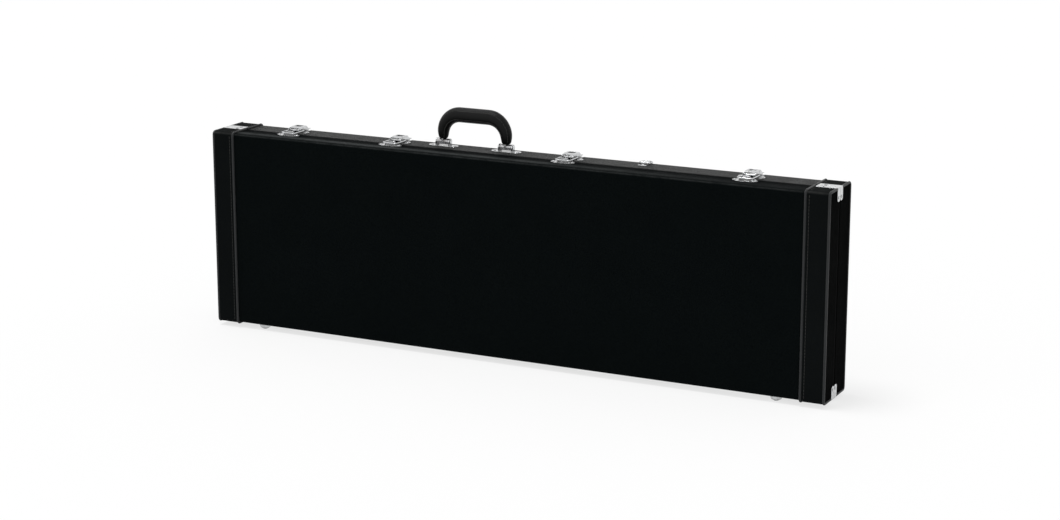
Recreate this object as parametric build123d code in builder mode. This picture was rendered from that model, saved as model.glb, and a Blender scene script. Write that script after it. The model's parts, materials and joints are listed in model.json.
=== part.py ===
from build123d import *
import os

# Hard case for an electric bass guitar, standing on its hinged long side as it is set down.
# X runs along the length, Y from the lid's face to the body's back, Z up from the floor.
# The lid is the front half and opens forward and down about the hinges. Sizes are in millimetres.

# Overall sizes, over the leatherette end caps
case_length = 1250.0
case_height = 378.0
case_depth = 107.0
lid_depth = 50.0
standing_gap = 8.0
edge_radius = 7.0

# Boards and skins
board_thickness = 7.0
covering_thickness = 1.0
lining_thickness = 1.5
cap_thickness = 2.0
cap_band = 42.0
cap_end_bevel = 2.2
board_end_bevel = 1.6
rim_gap = 0.6

# Piping
piping_radius = 2.4
piping_proud_at_end = 1.2
piping_proud_on_band = 1.8
piping_rim_gap = 1.5
cord_sides = 10

# Metal corner guards on the end caps, either side of the split
guard_thickness = 0.8
guard_width = 13.0
guard_tab = 24.0
guard_edge_gap = 2.0
guard_tip_round = 6.0

# Feet
foot_radius = 11.5
foot_flat_radius = 5.0
foot_shoulder_radius = 9.7
foot_shoulder_z = 3.0
foot_rim_z = 7.5
foot_x = 530.0
foot_from_face = 20.0

# Tongue that locates the lid
tongue_thickness = 3.0
tongue_reach = 9.0
tongue_root = 14.0

# Hinges on the long side
hinge_places = (-440.0, -160.0, 160.0, 440.0)
hinge_length = 60.0
hinge_leaf_width = 20.0
hinge_leaf_thickness = 1.2
hinge_knuckle_radius = 2.6
hinge_pin_radius = 1.5
hinge_surface_gap = 0.4
hinge_axial_gap = 0.3
hinge_notch_gap = 0.4

# Draw latches, with u along the case, v across the split and w up from the covering
latch_places = (-478.0, -255.0, 103.0, 455.0)
lever_half_width = 12.0
lever_sheet = 1.2
lever_pivot_v = 12.0
lever_pivot_w = 6.0
lever_pin_radius = 1.5
lever_nose_radius = 4.3
lever_skirt_w = 1.9
lever_back_w = 10.3
lever_top_w = 11.6
lever_shoulder_v = 19.0
lever_slope_v = 35.0
lever_tab_v = 44.0
lever_tab_w = 4.6
lever_tip_v = 49.0
lever_crown_bevel = 0.9
window_half_width = 7.0
window_wall = 0.8
window_depth = 2.2
lever_web_gap = 0.5
pin_end_gap = 0.05
window_end_gap = 2.0
pin_head = 0.8
ear_gap = 0.9
ear_thickness = 1.2
ear_radius = 2.6
loop_side_gap = 1.2
loop_pivot_v = 22.0
loop_pivot_w = 4.6
loop_wire_radius = 1.3
loop_bar_v = -14.0
loop_end_gap = 0.9
loop_pivot_bend = 2.2
loop_bar_bend = 4.0
wire_sides = 8
base_thickness = 1.2
base_tail_gap = 1.0
base_wing_reach = 9.0
base_wing_tip = 8.0
base_wing_low = 7.0
base_wing_high = 33.0
base_low = 2.0
base_high = 45.0
base_corner = 2.5
keeper_thickness = 1.0
keeper_side_gap = 2.0
keeper_wing_reach = 10.0
keeper_wing_tip = 7.0
keeper_low = -22.0
keeper_high = -2.0
keeper_corner = 2.0
hook_thickness = 1.2
hook_inset = 1.0
hook_height = 8.5
hook_gap = 0.7
hook_corner = 4.0
pin_fit = 0.06
wire_fit = 0.08

# Handle, over the balance point
handle_x = -97.0
handle_from_back = 29.0
handle_span = 131.0
handle_pin_w = 9.0
handle_pin_radius = 2.5
handle_line_w = 63.0
handle_corner = 37.0
grip_thickness = 26.0
grip_width = 26.0
grip_bevel = 6.0
grip_foot_thickness = 15.0
grip_foot_width = 14.0
grip_foot_w = 18.0
bend_slack = 0.01
strap_thickness = 4.0
strap_width = 12.0
eye_radius = 5.5
eye_side_gap = 0.5
handle_pin_head = 1.2
handle_pin_rim = 1.5
bracket_half = 30.0
bracket_width = 18.0
bracket_thickness = 1.5
bracket_ear_inner = 12.5
bracket_ear_thickness = 2.0
bracket_ear_radius = 6.0

# Tag ring on its clip
ring_x = 243.0
ring_from_back = 18.5
ring_wire_radius = 1.5
ring_half_width = 11.0
ring_reach = 15.0
ring_root_bend = 2.5
ring_bend = 9.0
ring_split = 0.3
clip_thickness = 1.0
clip_tube_radius = 2.8
clip_half_width = 8.0
clip_length = 16.0

# Interior
nest_drop = 2.0
floor_pad_thickness = 8.0
pocket_end_x = -130.0
block_end_x = 130.0
block_throat = 70.0
block_bulge = 28.0
upper_horn_reach = 20.0
lower_horn_reach = 60.0
floor_pad_end_x = -195.0
neck_channel = 84.0
corner_pad_size = 110.0
corner_pad_hollow = 0.34
accessory_length = 196.0
accessory_wall = 6.0
accessory_floor = 4.0
accessory_lid_thickness = 5.0
accessory_pin_radius = 1.2
tab_half_width = 11.0
tab_length = 32.0
tab_thickness = 1.6
tab_edge_gap = 2.0
tab_corner = 6.0
neck_rest_length = 40.0
neck_notch_depth = 30.0
neck_notch_inset = 8.0
neck_notch_corner = 12.0
bay_gap = 4.0
head_pad_thickness = 20.0
head_pad_half = 110.0
head_pad_drop = 12.0
head_pad_corner = 8.0
lid_pad_thickness = 12.0
lid_pad_margin = 8.0
lid_pad_gap = 40.0
lid_pad_corner = 12.0
pad_clearance = 0.5

# Places worked out from the sizes
end_x = case_length / 2
front_y = -case_depth / 2
back_y = case_depth / 2
split_y = front_y + lid_depth
lid_rim_y = split_y - rim_gap / 2
body_rim_y = split_y + rim_gap / 2
bottom_z = standing_gap
top_z = bottom_z + case_height
mid_z = (bottom_z + top_z) / 2
band_x = end_x - cap_band
cover_top_z = top_z - cap_thickness
cover_bottom_z = bottom_z + cap_thickness
board_inset = cap_thickness + covering_thickness
inner_inset = board_inset + board_thickness
lined_inset = inner_inset + lining_thickness
nest_inset = lined_inset + tongue_thickness
nest_x = end_x - nest_inset
nest_low_z = bottom_z + nest_inset
nest_high_z = top_z - nest_inset
floor_y = back_y - lined_inset
nest_top_y = body_rim_y + nest_drop
handle_y = back_y - handle_from_back
ring_axis_y = back_y - ring_from_back
ear_centre = lever_half_width - lever_sheet - ear_gap - ear_thickness / 2
loop_half_width = lever_half_width + loop_side_gap + loop_wire_radius
base_tail_half = loop_half_width + base_tail_gap
hook_half_width = lever_half_width - hook_inset
halves = {"lid": (front_y - 5, lid_rim_y), "body": (body_rim_y, back_y + 5)}
os.makedirs("parts", exist_ok=True)


def save(name, part):
    part.label = name
    export_step(part, f"parts/{name}.step")


def case_block(inset, end_bevel):
    with BuildPart() as block:
        with BuildSketch(Plane.YZ.offset(inset - end_x)):
            with Locations((0, mid_z)):
                RectangleRounded(
                    case_depth - 2 * inset, case_height - 2 * inset, edge_radius - inset
                )
        extrude(amount=case_length - 2 * inset)
        if end_bevel > 0:
            ends = block.faces().sort_by(Axis.X)
            chamfer(ends[0].edges() + ends[-1].edges(), end_bevel)
    return block.part


def cut_to(shape, low, high):
    size = [b - a for a, b in zip(low, high)]
    centre = [(a + b) / 2 for a, b in zip(low, high)]
    with BuildPart() as piece:
        add(shape)
        with Locations(tuple(centre)):
            Box(*size, mode=Mode.INTERSECT)
    return piece.part


def box_between(low, high, mode=Mode.ADD):
    size = [b - a for a, b in zip(low, high)]
    centre = [(a + b) / 2 for a, b in zip(low, high)]
    with Locations(tuple(centre)):
        Box(*size, mode=mode)


cap_shape = case_block(0, 0)
cover_shape = case_block(cap_thickness, cap_end_bevel)
board_shape = case_block(board_inset, board_end_bevel)


# Plywood boards: a panel and four rails for each half
def boards(half):
    low_y, high_y = halves[half]
    panel_y = front_y + inner_inset if half == "lid" else back_y - inner_inset
    panel = (low_y, panel_y) if half == "lid" else (panel_y, high_y)
    rail = (panel_y, high_y) if half == "lid" else (low_y, panel_y)
    rail_low_z = bottom_z + inner_inset
    rail_high_z = top_z - inner_inset
    inner_x = end_x - inner_inset
    spans = {
        "panel": ((-end_x, panel[0], 0), (end_x, panel[1], top_z)),
        "top_rail": ((-end_x, rail[0], rail_high_z), (end_x, rail[1], top_z)),
        "bottom_rail": ((-end_x, rail[0], 0), (end_x, rail[1], rail_low_z)),
        "left_rail": ((-end_x, rail[0], rail_low_z), (-inner_x, rail[1], rail_high_z)),
        "right_rail": ((inner_x, rail[0], rail_low_z), (end_x, rail[1], rail_high_z)),
    }
    for name, (low, high) in spans.items():
        save(f"{half}_{name}", cut_to(board_shape, low, high))


# Textured covering glued over the boards
def covering(half):
    low_y, high_y = halves[half]
    with BuildPart() as skin:
        add(cover_shape)
        add(board_shape, mode=Mode.SUBTRACT)
        box_between((-end_x, low_y, 0), (end_x, high_y, top_z), Mode.INTERSECT)
    save(f"{half}_covering", skin.part)


# One cord of piping, bent round three sides of a half
def bead(x, inset, half, start_gap):
    face_y = front_y + inset if half == "lid" else back_y - inset
    start_y = lid_rim_y - start_gap if half == "lid" else body_rim_y + start_gap
    with BuildPart() as cord:
        with BuildLine(Plane.YZ.offset(x)) as route:
            FilletPolyline(
                (start_y, top_z - inset),
                (face_y, top_z - inset),
                (face_y, bottom_z + inset),
                (start_y, bottom_z + inset),
                radius=edge_radius - inset,
            )
        with BuildSketch(Plane(origin=route.line @ 0, z_dir=route.line % 0)):
            RegularPolygon(piping_radius, cord_sides)
        sweep()
        add(cover_shape, mode=Mode.SUBTRACT)
    return cord.part


def piping(half):
    end_inset = piping_radius - piping_proud_at_end
    band_inset = piping_radius - piping_proud_on_band
    end_cords = []
    band_cords = []
    for side in (-1, 1):
        end_cords.append(bead(side * (end_x - end_inset), end_inset, half, guard_width))
        band_cords.append(bead(side * (band_x - piping_radius), band_inset, half, piping_rim_gap))
    with BuildPart() as cords:
        for cord in end_cords + band_cords:
            add(cord)
    save(f"{half}_piping", cords.part)
    return end_cords


# Leatherette caps folded over the ends
def end_caps(half, end_cords):
    low_y, high_y = halves[half]
    for side, name in ((-1, "left"), (1, "right")):
        inner = side * band_x
        outer = side * (end_x + 1)
        low = (min(inner, outer), low_y, 0)
        high = (max(inner, outer), high_y, top_z + 1)
        with BuildPart() as cap:
            add(cap_shape)
            add(cover_shape, mode=Mode.SUBTRACT)
            box_between(low, high, Mode.INTERSECT)
            for cord in end_cords:
                add(cord, mode=Mode.SUBTRACT)
        save(f"{half}_{name}_end_cap", cap.part)


# Metal guards wrapped over the corners at the split
def corner_guards(half):
    near_y, far_y = (
        (lid_rim_y, lid_rim_y - guard_width)
        if half == "lid"
        else (body_rim_y, body_rim_y + guard_width)
    )
    low_y = min(near_y, far_y)
    with BuildPart() as guards:
        for side in (-1, 1):
            for surface_z, up in ((top_z, 1), (bottom_z, -1)):
                inner = side * (band_x + guard_edge_gap)
                outer = side * (end_x + guard_thickness)
                face = surface_z + up * guard_thickness
                tab = surface_z - up * guard_tab
                with BuildSketch(Plane.XZ.offset(-low_y)):
                    with BuildLine():
                        Polyline(
                            (inner, surface_z),
                            (inner, face),
                            (outer, face),
                            (outer, tab),
                            (side * end_x, tab),
                            (side * end_x, surface_z),
                            close=True,
                        )
                    make_face()
                extrude(amount=-guard_width)
        tips = guards.edges().filter_by(Axis.X).filter_by(lambda e: e.length < guard_thickness + 0.01)
        tips = tips.filter_by(lambda e: abs(e.center().Z - mid_z) < case_height / 2 - guard_tab / 2)
        fillet(tips, guard_tip_round)
    save(f"{half}_corner_guards", guards.part)


# Domed glides under the long side
def feet(half):
    y = front_y + foot_from_face if half == "lid" else back_y - foot_from_face
    with BuildPart() as glides:
        for x in (-foot_x, foot_x):
            with BuildSketch(Plane(origin=(x, y, 0), x_dir=(1, 0, 0), z_dir=(0, -1, 0))):
                with BuildLine():
                    Polyline(
                        (0, 0),
                        (foot_flat_radius, 0),
                        (foot_shoulder_radius, foot_shoulder_z),
                        (foot_radius, foot_rim_z),
                        (foot_radius, cover_bottom_z),
                        (0, cover_bottom_z),
                        close=True,
                    )
                make_face()
            revolve(axis=Axis((x, y, 0), (0, 0, 1)))
    save(f"{half}_feet", glides.part)


# Plush lining glued inside the boards
def lining(half):
    panel_y = front_y + inner_inset if half == "lid" else back_y - inner_inset
    rim_y = lid_rim_y - tongue_reach - 2 if half == "lid" else body_rim_y
    inner_y = panel_y + lining_thickness if half == "lid" else panel_y - lining_thickness
    outer = (end_x - inner_inset, bottom_z + inner_inset, top_z - inner_inset)
    inner = (end_x - lined_inset, bottom_z + lined_inset, top_z - lined_inset)
    with BuildPart() as plush:
        box_between(
            (-outer[0], min(panel_y, rim_y), outer[1]), (outer[0], max(panel_y, rim_y), outer[2])
        )
        box_between(
            (-inner[0], min(inner_y, rim_y), inner[1]),
            (inner[0], max(inner_y, rim_y), inner[2]),
            Mode.SUBTRACT,
        )
    save(f"{half}_lining", plush.part)


# Wooden tongue inside the body's rim
def tongue():
    outer_x = end_x - lined_inset
    low_z = bottom_z + lined_inset
    high_z = top_z - lined_inset
    low_y = body_rim_y - tongue_reach
    high_y = body_rim_y + tongue_root
    with BuildPart() as rails:
        box_between((-outer_x, low_y, low_z), (outer_x, high_y, nest_low_z))
        box_between((-outer_x, low_y, nest_high_z), (outer_x, high_y, high_z))
        box_between((-outer_x, low_y, nest_low_z), (-nest_x, high_y, nest_high_z))
        box_between((nest_x, low_y, nest_low_z), (outer_x, high_y, nest_high_z))
    save("body_tongue", rails.part)


# Hinges: a three-knuckle butt hinge at each place
hinge_axis_z = cover_bottom_z - hinge_surface_gap - hinge_knuckle_radius
lid_knuckle = hinge_length / 3
body_knuckle = (hinge_length - lid_knuckle) / 2 - hinge_axial_gap


def hinge_leaf(place, half):
    side = -1 if half == "lid" else 1
    low_z = cover_bottom_z - hinge_leaf_thickness
    notch = hinge_knuckle_radius + hinge_notch_gap
    start = place - hinge_length / 2
    end = place + hinge_length / 2
    if half == "lid":
        own = [(place - lid_knuckle / 2, place + lid_knuckle / 2)]
        other = [(start, own[0][0]), (own[0][1], end)]
    else:
        own = [(start, start + body_knuckle), (end - body_knuckle, end)]
        other = [(own[0][1], own[1][0])]
    with BuildPart() as leaf:
        edges_y = sorted((split_y, split_y + side * hinge_leaf_width))
        box_between((start, edges_y[0], low_z), (end, edges_y[1], cover_bottom_z))
        for low_x, high_x in other:
            cut_y = sorted((split_y, split_y + side * notch))
            box_between((low_x, cut_y[0], low_z), (high_x, cut_y[1], cover_bottom_z), Mode.SUBTRACT)
        for low_x, high_x in own:
            with BuildSketch(Plane.YZ.offset(low_x)):
                with Locations((split_y, hinge_axis_z)):
                    Circle(hinge_knuckle_radius)
            extrude(amount=high_x - low_x)
            with BuildSketch(Plane.YZ.offset(low_x)):
                with Locations((split_y, hinge_axis_z)):
                    Circle(hinge_pin_radius + pin_fit)
            extrude(amount=high_x - low_x, mode=Mode.SUBTRACT)
    return leaf.part


def hinges():
    for half in ("lid", "body"):
        with BuildPart() as leaves:
            for place in hinge_places:
                add(hinge_leaf(place, half))
        save(f"{half}_hinge_leaves", leaves.part)
    with BuildPart() as pins:
        for place in hinge_places:
            with BuildSketch(Plane.YZ.offset(place - hinge_length / 2)):
                with Locations((split_y, hinge_axis_z)):
                    Circle(hinge_pin_radius)
            extrude(amount=hinge_length)
    save("hinge_pins", pins.part)


# Draw latches, made at the origin and set in place. There X is u, Y is v and Z is w.
def at_latch(shape, x):
    with BuildPart() as placed:
        with Locations((x, split_y, cover_top_z)):
            add(shape)
    return placed.part


def winged_plate(tail_half, ends, wings, wing_reach, wing_tip, corner, thickness):
    tip_half = tail_half + wing_reach
    tip_v = sum(wings) / 2
    side = [
        (tail_half, wings[0]),
        (tip_half, tip_v - wing_tip / 2),
        (tip_half, tip_v + wing_tip / 2),
        (tail_half, wings[1]),
    ]
    if ends != wings:
        side = [(tail_half, ends[0])] + side + [(tail_half, ends[1])]
    outline = side + [(-u, v) for u, v in reversed(side)]
    with BuildPart() as plate:
        with BuildSketch() as face:
            with BuildLine():
                Polyline(*outline, close=True)
            make_face()
            tips = face.vertices().filter_by(lambda p: abs(abs(p.X) - tip_half) < 0.01)
            fillet(tips, corner)
        extrude(amount=thickness)
    return plate.part


def latch_base():
    with BuildPart() as base:
        add(
            winged_plate(
                base_tail_half,
                (base_low, base_high),
                (base_wing_low, base_wing_high),
                base_wing_reach,
                base_wing_tip,
                base_corner,
                base_thickness,
            )
        )
        for side in (-1, 1):
            with BuildSketch(Plane.YZ.offset(side * ear_centre - ear_thickness / 2)):
                with Locations((lever_pivot_v, lever_pivot_w)):
                    Circle(ear_radius)
                with Locations((lever_pivot_v, lever_pivot_w / 2)):
                    Rectangle(2 * ear_radius, lever_pivot_w)
                with Locations((lever_pivot_v, lever_pivot_w)):
                    Circle(lever_pin_radius + pin_fit, mode=Mode.SUBTRACT)
            extrude(amount=ear_thickness)
    return base.part


def latch_pin():
    reach = lever_half_width + pin_end_gap
    with BuildPart() as pin:
        with BuildSketch(Plane.YZ.offset(-reach)):
            with Locations((lever_pivot_v, lever_pivot_w)):
                Circle(lever_pin_radius)
        extrude(amount=2 * reach)
        for low in (-reach - pin_head, reach):
            with BuildSketch(Plane.YZ.offset(low)):
                with Locations((lever_pivot_v, lever_pivot_w)):
                    Circle(lever_pin_radius + pin_head)
            extrude(amount=pin_head)
    return pin.part


def latch_lever():
    tab_low_w = lever_tab_w - lever_sheet
    inner_half = lever_half_width - lever_sheet
    inner_top_w = lever_top_w - lever_sheet
    with BuildPart() as lever:
        with BuildSketch(Plane.YZ.offset(-lever_half_width)):
            with BuildLine():
                Polyline(
                    (lever_pivot_v, lever_skirt_w),
                    (lever_pivot_v, lever_back_w),
                    (lever_shoulder_v, lever_top_w),
                    (lever_slope_v, lever_top_w),
                    (lever_tab_v, lever_tab_w),
                    (lever_tip_v, lever_tab_w),
                    (lever_tip_v, tab_low_w),
                    (lever_tab_v - 1, tab_low_w),
                    (lever_tab_v - 3, lever_skirt_w),
                    close=True,
                )
            make_face()
            with Locations((lever_pivot_v, lever_pivot_w)):
                Circle(lever_nose_radius)
        extrude(amount=2 * lever_half_width)
        crown = lever.edges().filter_by(
            lambda e: abs(abs(e.center().X) - lever_half_width) < 0.01
            and e.center().Z > lever_tab_w + 1
            and e.center().Y > lever_pivot_v + 1
        )
        chamfer(crown, lever_crown_bevel)
        with BuildSketch(Plane.YZ.offset(-inner_half)):
            with BuildLine():
                Polyline(
                    (0, 0),
                    (0, lever_top_w + 1),
                    (lever_pivot_v + lever_web_gap, lever_top_w + 1),
                    (lever_pivot_v + lever_web_gap, lever_back_w - lever_sheet),
                    (lever_shoulder_v, inner_top_w),
                    (lever_slope_v - lever_web_gap, inner_top_w),
                    (lever_tab_v - 1, tab_low_w),
                    (lever_tab_v - 1, 0),
                    close=True,
                )
            make_face()
        extrude(amount=2 * inner_half, mode=Mode.SUBTRACT)
        low_v = lever_shoulder_v + window_end_gap
        high_v = lever_slope_v - window_end_gap
        floor_w = lever_top_w - window_depth
        box_between(
            (-window_half_width - window_wall, low_v - window_wall, floor_w - window_wall),
            (window_half_width + window_wall, high_v + window_wall, lever_top_w - lever_sheet / 2),
        )
        box_between(
            (-window_half_width, low_v, floor_w), (window_half_width, high_v, lever_top_w), Mode.SUBTRACT
        )
        for v, w, r in (
            (lever_pivot_v, lever_pivot_w, lever_pin_radius + pin_fit),
            (loop_pivot_v, loop_pivot_w, loop_wire_radius + wire_fit),
        ):
            with BuildSketch(Plane.YZ.offset(-lever_half_width)):
                with Locations((v, w)):
                    Circle(r)
            extrude(amount=2 * lever_half_width, mode=Mode.SUBTRACT)
    return lever.part


def latch_loop():
    end_u = lever_half_width - lever_sheet - loop_end_gap
    with BuildPart() as loop:
        with BuildLine(Plane.XY.offset(loop_pivot_w)) as route:
            FilletPolyline(
                (-end_u, loop_pivot_v),
                (-loop_half_width, loop_pivot_v),
                (-loop_half_width, loop_bar_v),
                (loop_half_width, loop_bar_v),
                (loop_half_width, loop_pivot_v),
                (end_u, loop_pivot_v),
                radius=[loop_pivot_bend, loop_bar_bend, loop_bar_bend, loop_pivot_bend],
            )
        with BuildSketch(Plane(origin=route.line @ 0, z_dir=route.line % 0)):
            RegularPolygon(loop_wire_radius, wire_sides)
        sweep()
    return loop.part


def latch_keeper():
    hook_back = loop_bar_v + loop_wire_radius + hook_gap
    ends = (keeper_low, keeper_high)
    with BuildPart() as keeper:
        add(
            winged_plate(
                hook_half_width + keeper_side_gap,
                ends,
                ends,
                keeper_wing_reach,
                keeper_wing_tip,
                keeper_corner,
                keeper_thickness,
            )
        )
        with BuildSketch(Plane.XZ.offset(-hook_back)):
            with Locations((0, hook_height / 2)):
                Rectangle(2 * hook_half_width, hook_height)
        extrude(amount=-hook_thickness)
        top = keeper.faces().sort_by(Axis.Z)[-1]
        fillet(top.edges().filter_by(Axis.Y), hook_corner)
    return keeper.part


def latches():
    base = latch_base()
    pin = latch_pin()
    lever = latch_lever()
    loop = latch_loop()
    keeper = latch_keeper()
    groups = {"latch_bases": base, "latch_pins": pin, "latch_keepers": keeper}
    for name, shape in groups.items():
        with BuildPart() as group:
            for x in latch_places:
                add(at_latch(shape, x))
        save(name, group.part)
    for number, x in enumerate(latch_places, 1):
        save(f"latch_lever_{number}", at_latch(lever, x))
        save(f"latch_loop_{number}", at_latch(loop, x))


def bevelled_section(width, height, bevel):
    with BuildSketch(mode=Mode.PRIVATE) as section:
        Rectangle(width, height)
        chamfer(section.vertices(), bevel)
    return section.sketch


# Handle brackets, pins, steel core and padded grip
def handle():
    line_z = cover_top_z + handle_line_w
    pin_z = cover_top_z + handle_pin_w
    feet_x = (handle_x - handle_span / 2, handle_x + handle_span / 2)
    with BuildPart() as brackets:
        for x in feet_x:
            with BuildSketch(Plane.XY.offset(cover_top_z)):
                with Locations((x, handle_y)):
                    SlotOverall(2 * bracket_half, bracket_width)
            extrude(amount=bracket_thickness)
            for low in (-bracket_ear_inner - bracket_ear_thickness, bracket_ear_inner):
                with BuildSketch(Plane.YZ.offset(x + low)):
                    with Locations((handle_y, pin_z)):
                        Circle(bracket_ear_radius)
                    with Locations((handle_y, cover_top_z + handle_pin_w / 2)):
                        Rectangle(2 * bracket_ear_radius, handle_pin_w)
                    with Locations((handle_y, pin_z)):
                        Circle(handle_pin_radius + pin_fit, mode=Mode.SUBTRACT)
                extrude(amount=bracket_ear_thickness)
    save("handle_brackets", brackets.part)
    reach = bracket_ear_inner + bracket_ear_thickness + pin_end_gap
    with BuildPart() as pins:
        for x in feet_x:
            with BuildSketch(Plane.YZ.offset(x - reach)):
                with Locations((handle_y, pin_z)):
                    Circle(handle_pin_radius)
            extrude(amount=2 * reach)
            for low in (-reach - handle_pin_head, reach):
                with BuildSketch(Plane.YZ.offset(x + low)):
                    with Locations((handle_y, pin_z)):
                        Circle(handle_pin_radius + handle_pin_rim)
                extrude(amount=handle_pin_head)
    save("handle_pins", pins.part)

    eye_half = bracket_ear_inner - eye_side_gap
    with BuildPart() as core:
        with BuildLine(Plane.XZ.offset(-handle_y)) as route:
            FilletPolyline(
                (feet_x[0], pin_z),
                (feet_x[0], line_z),
                (feet_x[1], line_z),
                (feet_x[1], pin_z),
                radius=handle_corner,
            )
        with BuildSketch(Plane(origin=route.line @ 0, x_dir=(1, 0, 0), z_dir=route.line % 0)):
            Rectangle(strap_thickness, strap_width)
        sweep()
        for radius, mode in ((eye_radius, Mode.ADD), (handle_pin_radius + pin_fit, Mode.SUBTRACT)):
            for x in feet_x:
                with BuildSketch(Plane.YZ.offset(x - eye_half)):
                    with Locations((handle_y, pin_z)):
                        Circle(radius)
                extrude(amount=2 * eye_half, mode=mode)
    save("handle_core", core.part)

    bend_z = line_z - handle_corner
    foot_z = cover_top_z + grip_foot_w
    with BuildPart() as grip:
        with BuildLine(Plane.XZ.offset(-handle_y)) as route:
            FilletPolyline(
                (feet_x[0], bend_z),
                (feet_x[0], line_z),
                (feet_x[1], line_z),
                (feet_x[1], bend_z),
                radius=handle_corner - bend_slack,
            )
        with BuildSketch(Plane(origin=route.line @ 0, x_dir=(1, 0, 0), z_dir=route.line % 0)):
            add(bevelled_section(grip_thickness, grip_width, grip_bevel))
        sweep()
        for x in feet_x:
            with BuildSketch(Plane.XY.offset(bend_z)):
                with Locations((x, handle_y)):
                    add(bevelled_section(grip_thickness, grip_width, grip_bevel))
            with BuildSketch(Plane.XY.offset(foot_z)):
                with Locations((x, handle_y)):
                    add(bevelled_section(grip_foot_thickness, grip_foot_width, grip_bevel / 2))
            loft(ruled=True)
        add(core.part, mode=Mode.SUBTRACT)
    save("handle_grip", grip.part)


# Tag ring lying on the top, held by a riveted clip
def tag_ring():
    axis_z = cover_top_z + clip_tube_radius
    front = ring_axis_y - clip_length
    with BuildPart() as clip:
        box_between(
            (ring_x - clip_half_width, front, cover_top_z),
            (ring_x + clip_half_width, ring_axis_y, cover_top_z + clip_thickness),
        )
        with BuildSketch(Plane.YZ.offset(ring_x - clip_half_width)):
            with Locations((ring_axis_y, axis_z)):
                Circle(clip_tube_radius)
        extrude(amount=2 * clip_half_width)
        with BuildSketch(Plane.YZ.offset(ring_x - clip_half_width)):
            with Locations((ring_axis_y, axis_z)):
                Circle(ring_wire_radius + pin_fit)
        extrude(amount=2 * clip_half_width, mode=Mode.SUBTRACT)
    save("tag_clip", clip.part)
    with BuildPart() as ring:
        with BuildLine(Plane.XY.offset(axis_z)) as route:
            FilletPolyline(
                (ring_x - ring_split, ring_axis_y),
                (ring_x - ring_half_width, ring_axis_y),
                (ring_x - ring_half_width, ring_axis_y + ring_reach),
                (ring_x + ring_half_width, ring_axis_y + ring_reach),
                (ring_x + ring_half_width, ring_axis_y),
                (ring_x + ring_split, ring_axis_y),
                radius=[ring_root_bend, ring_bend, ring_bend, ring_root_bend],
            )
        with BuildSketch(Plane(origin=route.line @ 0, z_dir=route.line % 0)):
            RegularPolygon(ring_wire_radius, wire_sides)
        sweep()
    save("tag_ring", ring.part)


# Padding round the instrument, drawn in the plane of the back panel
def padding():
    half_channel = neck_channel / 2
    depth = floor_y - nest_top_y
    size = corner_pad_size
    with BuildPart() as floor_pad:
        box_between(
            (-nest_x + pad_clearance, floor_y - floor_pad_thickness, nest_low_z + pad_clearance),
            (floor_pad_end_x, floor_y, nest_high_z - pad_clearance),
        )
        for z in (nest_low_z, nest_high_z):
            way = 1 if z == nest_low_z else -1
            box_between(
                (-nest_x - 1, floor_y - floor_pad_thickness, min(z - way, z + way * (size + 1))),
                (-nest_x + size + 1, floor_y, max(z - way, z + way * (size + 1))),
                Mode.SUBTRACT,
            )
    save("floor_pad", floor_pad.part)

    hollow = size * corner_pad_hollow
    with BuildPart() as corners:
        for z, way in ((nest_low_z, 1), (nest_high_z, -1)):
            with BuildSketch(Plane.XZ.offset(-floor_y)):
                with BuildLine():
                    Polyline(
                        (-nest_x + size, z), (-nest_x, z), (-nest_x, z + way * size)
                    )
                    ThreePointArc(
                        (-nest_x, z + way * size),
                        (-nest_x + hollow, z + way * hollow),
                        (-nest_x + size, z),
                    )
                make_face()
            extrude(amount=depth)
    save("corner_pads", corners.part)

    for name, z, way, reach in (
        ("upper_bout_block", nest_high_z, -1, upper_horn_reach),
        ("lower_bout_block", nest_low_z, 1, lower_horn_reach),
    ):
        channel_z = mid_z - way * half_channel
        lead_x = pocket_end_x - reach
        inner_x = pocket_end_x + block_throat
        with BuildPart() as block:
            with BuildSketch(Plane.XZ.offset(-floor_y)):
                with BuildLine():
                    Polyline((lead_x, z), (block_end_x, z), (block_end_x, channel_z), (inner_x, channel_z))
                    ThreePointArc(
                        (inner_x, channel_z),
                        ((lead_x + inner_x) / 2 + block_bulge, (z + channel_z) / 2),
                        (lead_x, z),
                    )
                make_face()
            extrude(amount=depth)
        save(name, block.part)

    rest_low = block_end_x + bay_gap + accessory_length + bay_gap
    with BuildPart() as rest:
        box_between(
            (rest_low, nest_top_y, nest_low_z), (rest_low + neck_rest_length, floor_y, nest_high_z)
        )
        with BuildSketch(Plane.YZ.offset(rest_low)):
            with Locations((nest_top_y, mid_z)):
                RectangleRounded(
                    2 * neck_notch_depth, neck_channel - 2 * neck_notch_inset, neck_notch_corner
                )
        extrude(amount=neck_rest_length, mode=Mode.SUBTRACT)
    save("neck_rest", rest.part)

    with BuildPart() as head_pad:
        box_between(
            (nest_x - head_pad_thickness, nest_top_y + head_pad_drop, mid_z - head_pad_half),
            (nest_x, floor_y, mid_z + head_pad_half),
        )
        fillet(head_pad.edges().filter_by(Axis.Y).sort_by(Axis.X)[:2], head_pad_corner)
    save("head_pad", head_pad.part)

    pad_back_y = front_y + lined_inset
    inner_x = end_x - lined_inset - lid_pad_margin
    low_z = bottom_z + lined_inset + lid_pad_margin
    high_z = top_z - lined_inset - lid_pad_margin
    for name, low_x, high_x in (
        ("lid_pad", -inner_x, block_end_x - lid_pad_gap),
        ("lid_neck_pad", block_end_x, inner_x),
    ):
        with BuildPart() as pad:
            box_between((low_x, pad_back_y, low_z), (high_x, pad_back_y + lid_pad_thickness, high_z))
            fillet(pad.edges().filter_by(Axis.Y), lid_pad_corner)
        save(name, pad.part)


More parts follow.
